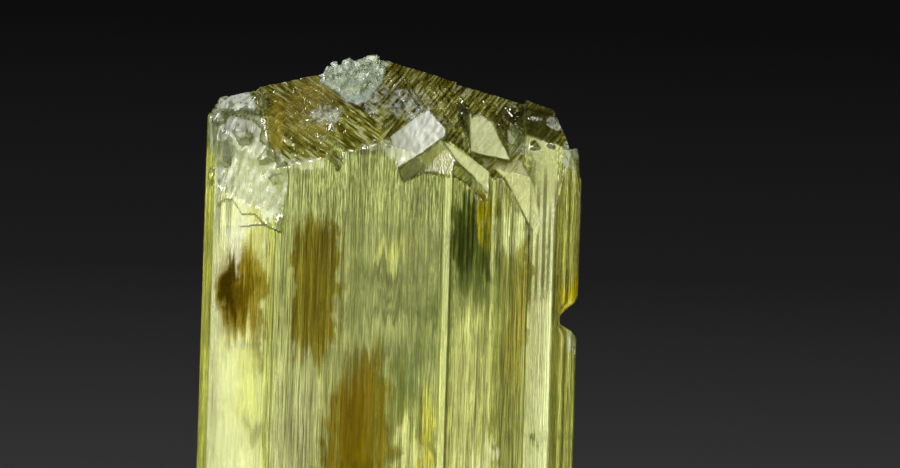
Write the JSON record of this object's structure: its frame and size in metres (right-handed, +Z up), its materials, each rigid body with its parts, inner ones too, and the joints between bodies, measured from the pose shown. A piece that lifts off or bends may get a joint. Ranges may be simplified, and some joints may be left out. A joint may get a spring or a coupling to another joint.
{
  "type": "hiddenite crystal",
  "caption": "Upright striated prism of clear yellow-green gem spodumene with an etched, roof-shaped top and a frosty crust, cut flat at the foot so that it stands.",
  "frame": {"origin": "centre of the bounding box on the plane of the flat foot", "axes": "+Z up along the prism's long axis, X across the broad front face, the front shown in the picture faces -Y"},
  "size_m": [0.0378, 0.0171, 0.0823],
  "materials": {
    "clear_spodumene": "clear yellow-green crystal with fine upright striations, brown zones inside and a frosted, etched top"
  },
  "bodies": {
    "root": {"crystal": "clear_spodumene"}
  },
  "joints": []
}
